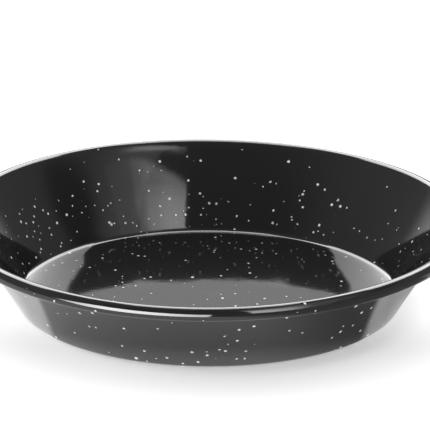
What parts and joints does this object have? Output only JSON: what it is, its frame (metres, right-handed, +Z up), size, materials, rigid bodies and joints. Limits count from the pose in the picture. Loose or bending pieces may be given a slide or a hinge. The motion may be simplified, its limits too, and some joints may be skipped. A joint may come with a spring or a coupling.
{
  "type": "enamel pan",
  "caption": "Shallow round pan pressed from one enamelled steel sheet, with a flat base, a flared wall and a rolled rim.",
  "frame": {"origin": "middle of the flat base, on the surface that the pan stands on", "axes": "+Z up along the axis of the pan, +X to the right and -Y towards the viewer"},
  "size_m": [0.26, 0.26, 0.0434],
  "materials": {
    "enamel": "glossy black vitreous enamel with small white specks"
  },
  "bodies": {
    "root": {"pan": "enamel"}
  },
  "joints": []
}
